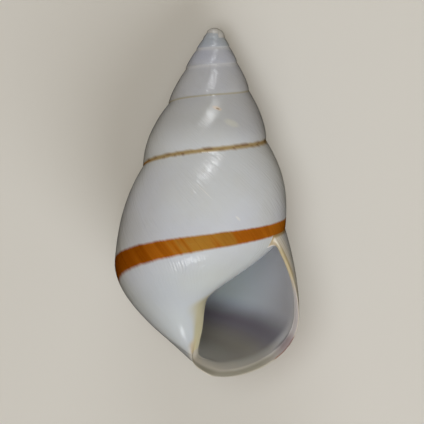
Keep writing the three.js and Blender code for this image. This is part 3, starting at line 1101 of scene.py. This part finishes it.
def seam_mask(n):
    """A thin line up the spire, and a wider and uneven one over the body whorl."""
    stage = n.read("seam_stage")
    body = n.step(stage, *BODY_SEAM)
    spire = n.times(n.step(stage, *SPIRE_SEAM), n.step(n.across, *SPIRE_SEAM_SIDE))
    width = n.plus(SEAM_WIDTH, n.times(body, n.times(n.streak, BODY_SEAM_WIDER)))
    width = n.plus(width, n.times(spire, SPIRE_SEAM_WIDER))
    gap = n.over(n.read("seam_gap"), width)
    shown = n.times(n.step(stage, *SEAM_STARTS), n.step(gap, *SEAM_EDGE))
    return n.times(shown, n.plus(SEAM_SHARE, n.times(body, BODY_SEAM_STRONGER)))


SEAM_BITS = (0.5, 0.62)
SEAM_BITS_SHARE = 0.8
SEAM_YELLOWS = (-2.6, -2.2)
SEAM_BROWNS = (-1.5, -1.25)


def seam_color(n):
    """Pale lines up the spire, and an ochre line with brown bits over the body whorl."""
    stage = n.read("seam_stage")
    brown = n.mix(n.times(n.step(n.streak, *SEAM_BITS), SEAM_BITS_SHARE), SEAM_OCHRE, SEAM_BROWN)
    pale = n.mix(n.step(stage, *SEAM_YELLOWS), SEAM_PALE, SEAM_YELLOW)
    return n.mix(n.step(stage, *SEAM_BROWNS), pale, brown)


STRIPE_UNEVEN = 0.06
STRIPE_RISES = (-0.34, -0.18)
STRIPE_RISE = 0.025
STRIPE_TOP = (0.7, 0.94)
STRIPE_BOTTOM = (1.1, 0.92)
STRIPE_FROM_LIP = (2.0, 7.0)
INSIDE_GREYS = (-0.32, -0.12)
WARM_BELOW = (0.85, 1.0)
# Below this across the floor turns sage, partly painted light in the pillar's shade.
SAGE_AND_LIGHT_BELOW = (1.12, 1.4)
# Painted light on the floor of the hollow: below this across, and closer to the lip than these gaps.
PAINTED_LIGHT_BELOW = (1.15, 1.4)
PAINTED_LIGHT_FROM_LIP = (9.0, 2.0)
BEIGE_CORNER = (0.045, 0.01)
RIM_GREYS = (0.85, 1.1)
# How close to the lip the inside turns pale, partly as painted light.
RIM_LIGHT_FROM_LIP = (6.0, 0.6)


def inner_color(n):
    """The band shows through the wall as a dark stripe, blue-grey above it and warm grey below, with painted
    light on the floor of the hollow and partly painted light beside the pillar and by the lip.
    """
    lower = n.plus(n.across, n.spread(n.cloud, STRIPE_UNEVEN))
    upper = n.plus(lower, n.times(n.step(n.age, *STRIPE_RISES), STRIPE_RISE))
    stripe = n.times(n.step(upper, *STRIPE_TOP), n.step(lower, *STRIPE_BOTTOM))
    above = n.mix(n.step(n.age, *INSIDE_GREYS), INSIDE_BLUE, INSIDE_GREY)
    below = n.mix(n.step(n.across, *SAGE_AND_LIGHT_BELOW), INSIDE_WARM, SAGE_AND_PAINTED_LIGHT)
    color = n.mix(n.step(lower, *WARM_BELOW), above, below)
    color = n.mix(n.times(stripe, n.step(n.lip_gap, *STRIPE_FROM_LIP)), color, INSIDE_DARK)
    # Painted light: the floor of the hollow turns paler towards the lip.
    pale = n.times(n.step(n.across, *PAINTED_LIGHT_BELOW), n.step(n.lip_gap, *PAINTED_LIGHT_FROM_LIP))
    color = n.mix(pale, color, PAINTED_FLOOR_LIGHT)
    color = n.mix(n.step(n.across, *BEIGE_CORNER), color, EDGE_BEIGE)
    # The inside next to the lip, partly painted light shining through the thin lip.
    rim_and_light = n.mix(n.step(n.across, *RIM_GREYS), RIM_PALE_AND_LIGHT, RIM_GREY_AND_LIGHT)
    return n.mix(n.step(n.lip_gap, *RIM_LIGHT_FROM_LIP), color, rim_and_light)


CREST_PALES = (0.02, 0.15)
CREST_GREYS = (0.85, 1.1)


def crest_color(n):
    """The edge of the lip: beige at the upper corner, then pale, and grey at the base, partly its own grey
    and partly painted shade.
    """
    corner = n.mix(n.step(n.across, *CREST_PALES), CREST_CORNER, CREST_PALE)
    return n.mix(n.step(n.across, *CREST_GREYS), corner, CREST_GREY_AND_SHADE)


STAIN_TOP = (0.76, 0.86)
STAIN_BOTTOM = (1.0, 0.9)
STAIN_FROM_LIP = (2.2, 0.4)
STAIN_INSIDE = (0.0, 0.3)
STAIN_SHARE = 0.75


def stain_mask(n):
    """A pinkish stain on the lip where the band ends."""
    along = n.times(n.step(n.across, *STAIN_TOP), n.step(n.across, *STAIN_BOTTOM))
    near = n.times(n.step(n.lip_gap, *STAIN_FROM_LIP), n.step(n.inside, *STAIN_INSIDE))
    return n.times(along, near, STAIN_SHARE)


BEIGE_FROM_LIP = (4.0, 0.3)
BEIGE_SHARE = 0.85


def beige_mask(n):
    """The outside turns beige close to the lip."""
    return n.times(n.step(n.lip_gap, *BEIGE_FROM_LIP), BEIGE_SHARE)


OCHRE_FROM_LIP = (0.9, 0.3)
OCHRE_INSIDE = (1.0, 0.7)
OCHRE_TOP = (0.03, 0.14)
OCHRE_BOTTOM = (0.5, 0.25)
OCHRE_SHARE = 0.8


def lip_mask(n):
    """A narrow ochre line along the outer edge of the upper lip."""
    edge = n.times(n.step(n.lip_gap, *OCHRE_FROM_LIP), n.step(n.inside, *OCHRE_INSIDE))
    upper = n.times(n.step(n.across, *OCHRE_TOP), n.step(n.across, *OCHRE_BOTTOM))
    return n.times(edge, upper, OCHRE_SHARE)


FLOOR_SIZE = 6.0
FLOOR_TONE = tone(228, 226, 221)
FLOOR_ROUGHNESS = 0.9


def make_floor():
    """A plain sheet that neither lights the shell nor shows in its gloss."""
    material = bpy.data.materials.new("pale_floor")
    n = Nodes(material)
    shader = n.new("ShaderNodeBsdfPrincipled")
    shader.inputs["Base Color"].default_value = FLOOR_TONE
    shader.inputs["Roughness"].default_value = FLOOR_ROUGHNESS
    output = n.new("ShaderNodeOutputMaterial")
    n.set(output.inputs["Surface"], shader.outputs["BSDF"])
    half = FLOOR_SIZE / 2
    mesh = bpy.data.meshes.new("floor")
    corners = [(-half, -half, 0), (half, -half, 0), (half, half, 0), (-half, half, 0)]
    mesh.from_pydata(corners, [], [(0, 1, 2, 3)])
    mesh.materials.append(material)
    floor = bpy.data.objects.new("floor", mesh)
    bpy.context.collection.objects.link(floor)
    floor.visible_diffuse = False
    floor.visible_glossy = False


# How the photograph looks at the standing shell: its lean in the picture, the tip of its base
# towards the viewer, the size of a pixel at the coiling axis, and where the tip of the shell shows.
PICTURE_SIDE = 424
PIXEL = 0.1375
PICTURE_LEAN = math.radians(4.7345)
BASE_TIPPED = math.radians(1.9626)
TIP_PIXEL = (214.5, 27.5)
VIEW_DISTANCE = 1300.0
SENSOR_WIDTH = 36
VIEW_ENDS = 20


def picture_axes():
    """Right, down and towards the viewer, for the standing shell."""
    down = np.array([0, math.sin(BASE_TIPPED), -math.cos(BASE_TIPPED)])
    side = np.array([1.0, 0, 0])
    right = side * math.cos(PICTURE_LEAN) - down * math.sin(PICTURE_LEAN)
    below = side * math.sin(PICTURE_LEAN) + down * math.cos(PICTURE_LEAN)
    toward = np.array([0, -math.cos(BASE_TIPPED), -math.sin(BASE_TIPPED)])
    return right, below, toward


def make_camera(turn, move):
    """The photograph's view of the shell as it lies; gives back its axes and what it looks at."""
    right, below, toward = picture_axes()
    middle = (PICTURE_SIDE - 1) / 2
    target = (right * (middle - TIP_PIXEL[0]) + below * (middle - TIP_PIXEL[1])) * PIXEL
    spot = turn @ (target + toward * VIEW_DISTANCE) * MM + move
    axes = Matrix([turn @ right, -(turn @ below), turn @ toward]).transposed()
    data = bpy.data.cameras.new("camera")
    data.sensor_width = SENSOR_WIDTH
    data.lens = SENSOR_WIDTH * VIEW_DISTANCE / (PICTURE_SIDE * PIXEL)
    data.clip_end = VIEW_ENDS
    camera = bpy.data.objects.new("camera", data)
    camera.matrix_world = Matrix.Translation(Vector(spot)) @ axes.to_4x4()
    bpy.context.collection.objects.link(camera)
    bpy.context.scene.camera = camera
    return axes, Vector(turn @ target * MM + move)


# Name, direction (right, up, towards the viewer), distance, width, height and power. The soft lights
# give the shading and the sparks give the highlights.
SOFT_LIGHTS = (
    ("front_light", (-0.18, -0.05, 1), 1.0, 0.55, 0.55, 2.55),
    ("top_light", (-0.02, 0.83, 0.56), 0.5, 0.35, 0.35, 0.7),
    ("low_light", (0.32, -0.82, 0.52), 0.5, 0.4, 0.4, 1.3),
)
SPARKS = (
    ("top_spark", (0.01, 0.83, 0.56), 0.5, 0.17, 0.11, 0.47),
    ("low_spark", (-0.07, -0.86, 0.5), 0.5, 0.2, 0.14, 0.33),
)
LIGHT_COLOR = (0.945, 0.97, 1)

# Faint light from all sides, warmer than the lamps.
WORLD_COLOR = (1, 0.79, 0.47, 1)
WORLD_STRENGTH = 0.2


def add_light(name, direction, distance, width, height, power, axes, target):
    """An oval lamp that shines on the target from a direction of the picture."""
    data = bpy.data.lights.new(name, "AREA")
    data.shape = "ELLIPSE"
    data.size = width
    data.size_y = height
    data.energy = power
    data.color = LIGHT_COLOR
    lamp = bpy.data.objects.new(name, data)
    aim = (axes @ Vector(direction)).normalized()
    upward = aim.cross(axes @ Vector((1, 0, 0))).normalized()
    turn = Matrix([upward.cross(aim), upward, aim]).transposed()
    lamp.matrix_world = Matrix.Translation(target + aim * distance) @ turn.to_4x4()
    bpy.context.collection.objects.link(lamp)
    return lamp


def make_light(axes, target):
    for light in SOFT_LIGHTS:
        add_light(*light, axes, target).visible_glossy = False
    for light in SPARKS:
        add_light(*light, axes, target).visible_diffuse = False
    world = bpy.data.worlds.new("studio")
    world.use_nodes = True
    background = world.node_tree.nodes["Background"]
    background.inputs["Color"].default_value = WORLD_COLOR
    background.inputs["Strength"].default_value = WORLD_STRENGTH
    world.cycles_visibility.glossy = False
    bpy.context.scene.world = world
    bpy.context.scene.view_settings.view_transform = "Standard"


shell, turn, move = make_shell(shell_material())
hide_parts("shell")
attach(shell, "root")
make_floor()
axes, target = make_camera(turn, move)
make_light(axes, target)
